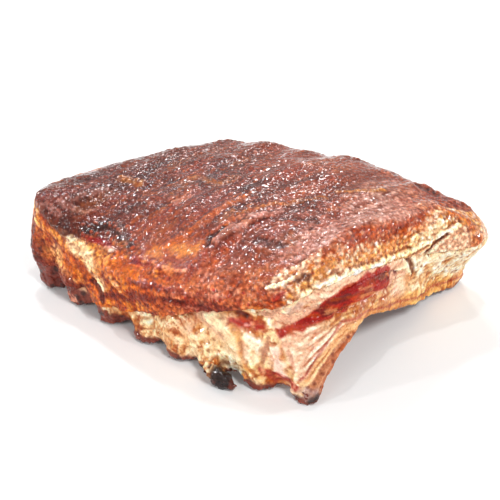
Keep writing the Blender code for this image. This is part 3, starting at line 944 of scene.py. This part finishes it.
def buildRibMeat():
    look = ribMeatLook
    boneNames = [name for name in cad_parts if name.startswith("rib_bone_")]
    mesh, hidden, points, normals = bodyMesh(["rib_meat"], look, boneNames)
    x, y, z = points.T

    # the cut face begins at the front corner and turns a little away at the back
    turned = 0.4 * ramp(35, 60, y)
    facesCut = ramp(0.35 - turned, 0.65 - turned, normals[:, 0]) * ramp(60, 75, x)
    pastCorner = ramp(-1.6, 1.6, x - curveValue(cutCorner, z) + 2 * layeredNoise(points, 6, 73))
    atCorner = ramp(-40, -60, y)
    onCut = pastCorner * atCorner + facesCut * (1 - atCorner)
    under = ramp(-0.7, -0.95, normals[:, 2])
    folds = layeredNoise(warped(points, 13, 8, 71) * np.array([1.0, 1.0, 0.8]), 10, 72, 2)
    # each knob is a round bump with lines that curl round it
    rings = np.zeros(len(points))
    for knob in ribKnobs:
        offset = points - np.array(knob, float)
        away = np.linalg.norm(offset, axis=1)
        rings += (1 - ramp(5.0, 13.0, away)) * (1 - away / 9.0)
    flow = layeredNoise(warped(points, 9, 8, 75), 13, 70, 2) + 0.05 * rings
    grainLines = np.cos(2 * pi * look["lineCount"] * flow + 4.0 * layeredNoise(points, 3.8, 68, 3))
    smoothKnob = np.maximum(nearPath(points, creamKnobPath, 9, 15), nearPath(points, cornerKnobPath, 5, 9))
    grainLines *= 1 - 0.85 * smoothKnob

    paint = paintRibFront(points, folds * (1 - 0.5 * smoothKnob), grainLines)
    paint = lay(paint, "cream", ramp(0.1, 0.7, rings + 0.4 * folds) * 0.5)
    paint = lay(paint, "burntOrange", ramp(-0.01, -0.10, rings) * 0.6)
    cut, fibres, thick = paintCutFace(points, curveValue(creamSeamHeight, y) - z)
    paint = covered(paint, cut, onCut)
    rimNoise = 2.6 * layeredNoise(points, 7, 85)
    rimTop = curveValue(rimHeight, x)
    lowRim = ramp(rimTop + 1.5, rimTop - 1.5, z + rimNoise) * (1 - 0.5 * onCut)
    # darker and glossier along the lower rim and where the meat faces down
    darkBelow = np.maximum(under, lowRim)
    paint = lay(paint, "rimRed", darkBelow * 0.85)
    paint = lay(paint, "char", darkBelow * spotted(points, 6, 0.35, 90) * 0.6)
    paint, marked = applyMarks(points, ribMeatMarks, paint, 91)

    scrap = nearPath(points, scrapPath, 11, 15)
    front = (1 - onCut) * (1 - under)
    relief = 1.9 * folds + 0.25 * grainLines + 1.6 * rings
    height = look["swirlHeight"] * relief * front * (1 - 0.8 * smoothKnob)
    height += look["fibreHeight"] * (fibres + 0.6 * thick) * onCut
    height += look["pebbleHeight"] * (1 - ramp(0.0, 0.8, pebbleNoise(points, 3.0, 87)))
    crags = 1 - 2 * np.abs(layeredNoise(points, 5.5, 92, 3))
    height += scrap * (look["cragHeight"] * crags - 1.6) + marked
    height *= 1.0 - hidden
    points = points + normals * height[:, None]
    # nothing goes below the floor
    points[:, 2] = np.maximum(points[:, 2], 0.0)
    moveTo(mesh, points / 1000)

    # painted shade in the gaps of the relief, painted highlight on its raised grains
    paint = paintReliefShade(paint, height, edgesOf(mesh), look["reliefShadeContrast"])
    gloss = 0.6 + 0.3 * folds + 0.35 * darkBelow
    grit = (0.55 + 0.35 * darkBelow + 0.2 * onCut) * (1 - 0.6 * smoothKnob)
    storePaint(mesh, paint, gloss, grit, normals, 0.2 + 0.4 * smoothKnob + 0.3 * darkBelow)
    material = wetSurface("RibMeat", look)
    finishPiece("ribMeat", mesh, material, ["rib_meat"])


# Lean muscle: the red strip that runs through the cut
leanMuscleLook = {
    "voxel": 0.0007,
    "evenRounds": 5,
    "hiddenGrow": 0.0008,
    "fibreHeight": 0.45,
    "reliefShadeContrast": 0.9,
    "mottleScale": 800.0,
    "mottleDark": (0.4, 0.3, 0.3, 1),
    "mottleLight": (1.35, 1.3, 1.3, 1),
    "mottleAmount": 0.7,
    "roughDry": 0.4,
    "roughWet": 0.08,
    "rippleTurn": 0.0,
    "rippleStretch": 0.3,
    "rippleScale": 500.0,
    "beadScale": 420.0,
    "beadHeight": 0.15,
    "bumpStrength": 0.9,
    "bumpDepth": 0.0012,
    "coat": 0.35,
    "coatRoughness": 0.15,
    "subsurface": 0.05,
}


def buildLeanMuscle():
    look = leanMuscleLook
    mesh, hidden, points, normals = bodyMesh(["lean_muscle"], look)
    x, y, z = points.T
    fibrePlace = np.stack([x * 0.5, y / 6.0, z + 0.2 * y], axis=1)
    fibres = layeredNoise(fibrePlace, 2.4, 101, 3)
    aside = ramp(-0.8, 0.8, outsideStrip(points))
    darkEnd = ramp(-25, 5, y) * ramp(-0.3, 0.3, layeredNoise(points, 4, 104) + (z - 46) / 8)
    paint = coated(plainPaint(points, "leanRed"), [
        ("deepRed", ramp(-0.1, 0.3, fibres) * 0.85),
        ("darkLean", ramp(0.1, 0.45, layeredNoise(fibrePlace, 3.6, 107, 3)) * 0.7),
        ("orange", ramp(0.15, 0.45, -fibres) * 0.5),
        ("tan", ramp(0.2, 0.45, layeredNoise(fibrePlace, 2.6, 103, 3)) * 0.6),
        ("pinkCream", aside * 0.9),
        ("cream", aside * ramp(0.0, 0.4, fibres) * 0.5),
        ("darkLean", darkEnd * 0.8),
    ])
    height = look["fibreHeight"] * fibres + 0.6 * darkEnd * layeredNoise(points, 2.5, 105)
    height *= 1.0 - hidden
    moveTo(mesh, (points + normals * height[:, None]) / 1000)
    # painted shade in the gaps of the relief, painted highlight on its raised grains
    paint = paintReliefShade(paint, height, edgesOf(mesh), look["reliefShadeContrast"])
    storePaint(mesh, paint, 0.6 + 0.3 * fibres, 0.4 + 0.5 * darkEnd, normals)
    material = wetSurface("LeanMuscle", look)
    finishPiece("leanMuscle", mesh, material, ["lean_muscle"])


# Rib bones: only a few of their ends look out of the glazed meat
ribBoneLook = {
    "voxel": 0.0009,
    "evenRounds": 4,
    "hiddenGrow": 0.0,
    "mottleHeight": 0.35,
    "mottleScale": 900.0,
    "mottleDark": (0.45, 0.38, 0.36, 1),
    "mottleLight": (1.2, 1.15, 1.1, 1),
    "mottleAmount": 0.7,
    "roughDry": 0.5,
    "roughWet": 0.12,
    "rippleTurn": 0.0,
    "rippleStretch": 1.0,
    "rippleScale": 600.0,
    "beadScale": 500.0,
    "beadHeight": 0.2,
    "bumpStrength": 0.6,
    "bumpDepth": 0.0006,
    "coat": 0.4,
    "coatRoughness": 0.15,
    "subsurface": 0.05,
}
# Colour of each bone's front end, and how far it looks out, in mm
boneEnds = [
    ("pinkMeat", 0.4), ("pinkMeat", 0.3), ("rimRed", -1.0), ("rimRed", -1.0),
    ("rimRed", -1.0), ("rimRed", -1.0), ("rimRed", -1.0), ("greyPink", 1.0),
]


def buildRibBones():
    look = ribBoneLook
    material = wetSurface("RibBone", look)
    for index, (endColour, standOut) in enumerate(boneEnds):
        nodeName = f"rib_bone_{index + 1}"
        mesh, _, points, normals = bodyMesh([nodeName], look)
        mottled = layeredNoise(points, 3.5, 111 + index)
        front = points[:, 1].min()
        atEnd = ramp(front + 14, front + 4, points[:, 1])
        paint = coated(plainPaint(points, "tan"), [
            (endColour, atEnd),
            ("rimRed", ramp(-0.1, 0.3, mottled) * atEnd * 0.8),
            ("char", ramp(0.3, 0.5, mottled) * atEnd * 0.8),
        ])
        points = points + normals * (look["mottleHeight"] * mottled)[:, None]
        points[:, 1] -= standOut * atEnd
        moveTo(mesh, points / 1000)
        storePaint(mesh, paint, 0.5 + 0.3 * mottled, 0.6 + 0.2 * mottled, normals)
        finishPiece(f"ribBone{index + 1}", mesh, material, [nodeName])


# Pale floor and soft even room light
stage = {
    "floorHalf": 6.0,
    "floorColour": (0.92, 0.92, 0.92, 1),
    "floorRoughness": 0.9,
    "worldColour": (1.0, 1.0, 1.0, 1),
    "worldStrength": 0.36,
    "lampTarget": (0, 0, 0.04),
}


def buildStage():
    floorMesh = bpy.data.meshes.new("floor")
    half = stage["floorHalf"]
    corners = [(-half, -half, 0), (half, -half, 0), (half, half, 0), (-half, half, 0)]
    floorMesh.from_pydata(corners, [], [(0, 1, 2, 3)])
    floorMaterial = bpy.data.materials.new("PaleFloor")
    floorMaterial.use_nodes = True
    shader = floorMaterial.node_tree.nodes["Principled BSDF"]
    shader.inputs["Base Color"].default_value = stage["floorColour"]
    shader.inputs["Roughness"].default_value = stage["floorRoughness"]
    floorMesh.materials.append(floorMaterial)
    floor = bpy.data.objects.new("floor", floorMesh)
    bpy.context.scene.collection.objects.link(floor)


# Lamps: turn about the rack from the front and rise in degrees, distance and size in metres, watts
lights = {
    "key": (65, 48, 1.0, 0.25, 4.9),
    "front": (5, 30, 1.1, 0.3, 1.0),
    "sheen": (210, 36, 1.2, 0.2, 2.6),
    "glintTop": (240, 55, 1.0, 0.07, 2.0),
    "glintLeft": (272, 38, 1.0, 0.07, 2.1),
    "glintBack": (233, 33, 1.1, 0.08, 0.9),
    "glintOver": (190, 72, 1.0, 0.06, 1.3),
    "glintFront": (-30, 14, 1.0, 0.08, 3.0),
    "glintCut": (132, 12, 1.0, 0.08, 2.4),
}


def directionTo(turn, rise):
    flat = cos(radians(rise))
    return Vector((sin(radians(turn)) * flat, -cos(radians(turn)) * flat, sin(radians(rise))))


def buildLights():
    for name, (turn, rise, distance, size, watts) in lights.items():
        data = bpy.data.lights.new(name, "AREA")
        data.shape = "DISK"
        data.size = size
        data.energy = watts
        lamp = bpy.data.objects.new(name, data)
        back = directionTo(turn, rise)
        lamp.location = Vector(stage["lampTarget"]) + back * distance
        lamp.rotation_euler = (-back).to_track_quat("-Z", "Y").to_euler()
        bpy.context.scene.collection.objects.link(lamp)
    world = bpy.data.worlds.new("SoftRoom")
    world.use_nodes = True
    background = world.node_tree.nodes["Background"]
    background.inputs["Color"].default_value = stage["worldColour"]
    background.inputs["Strength"].default_value = stage["worldStrength"]
    bpy.context.scene.world = world


# The photo's own view: turn and rise as for the lamps, with a point under the rack in the middle
cameraView = {"turn": 36.5, "rise": 32, "away": 0.70, "lens": 72, "lookAt": (-0.02624, 0.03734, 0.0)}


def buildCamera():
    data = bpy.data.cameras.new("camera")
    data.lens = cameraView["lens"]
    data.sensor_width = 36
    data.clip_start = 0.01
    data.dof.use_dof = False
    camera = bpy.data.objects.new("camera", data)
    back = directionTo(cameraView["turn"], cameraView["rise"])
    camera.location = Vector(cameraView["lookAt"]) + back * cameraView["away"]
    camera.rotation_euler = (-back).to_track_quat("-Z", "Y").to_euler()
    bpy.context.scene.collection.objects.link(camera)
    bpy.context.scene.camera = camera


buildOuterMeat()
print("outer meat done")
buildRibMeat()
print("rib meat done")
buildLeanMuscle()
print("lean muscle done")
buildRibBones()
print("rib bones done")
buildStage()
buildLights()
buildCamera()
bpy.context.scene.view_settings.view_transform = "Standard"
print("camera and lights done")
